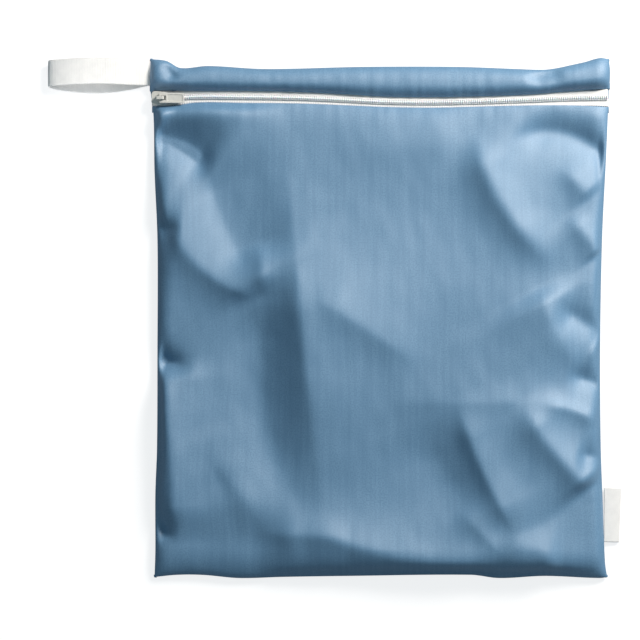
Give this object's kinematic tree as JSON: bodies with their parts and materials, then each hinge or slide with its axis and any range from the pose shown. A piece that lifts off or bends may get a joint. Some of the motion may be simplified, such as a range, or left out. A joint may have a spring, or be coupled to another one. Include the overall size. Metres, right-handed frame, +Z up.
{
  "type": "cloth diaper wet bag",
  "caption": "Flat rectangular cloth wet bag with a zip along the top, a webbing hanging loop at one top corner and a small bare side label, lying with soft folds.",
  "frame": {"origin": "on the underside of the back, at the middle of the bag's width and height", "axes": "+X along the zip towards the label's side, +Y up the bag towards the zip, +Z up out of the zip side"},
  "size_m": [0.39, 0.3537, 0.0266],
  "materials": {
    "cloth": "satin knit",
    "zip_tape": "woven",
    "zip_coil": "satin",
    "slider_paint": "satin paint",
    "webbing": "ribbed weave",
    "label": "woven"
  },
  "bodies": {
    "bag": {"front_panel": "cloth", "top_band": "cloth", "back_panel": "cloth", "zip_tape_upper": "zip_tape", "zip_tape_lower": "zip_tape", "zip_coil": "zip_coil", "slider_body": "slider_paint", "webbing_loop": "webbing", "side_label": "label"},
    "pull": {"pull_tab": "slider_paint"}
  },
  "joints": [
    {"name": "pull_tab_hinge", "type": "hinge", "parent": "bag", "child": "pull", "pos_m": [-0.1492, 0.14877, 0.00995], "axis": [0, -1, 0], "range_deg": [0, 165]}
  ]
}
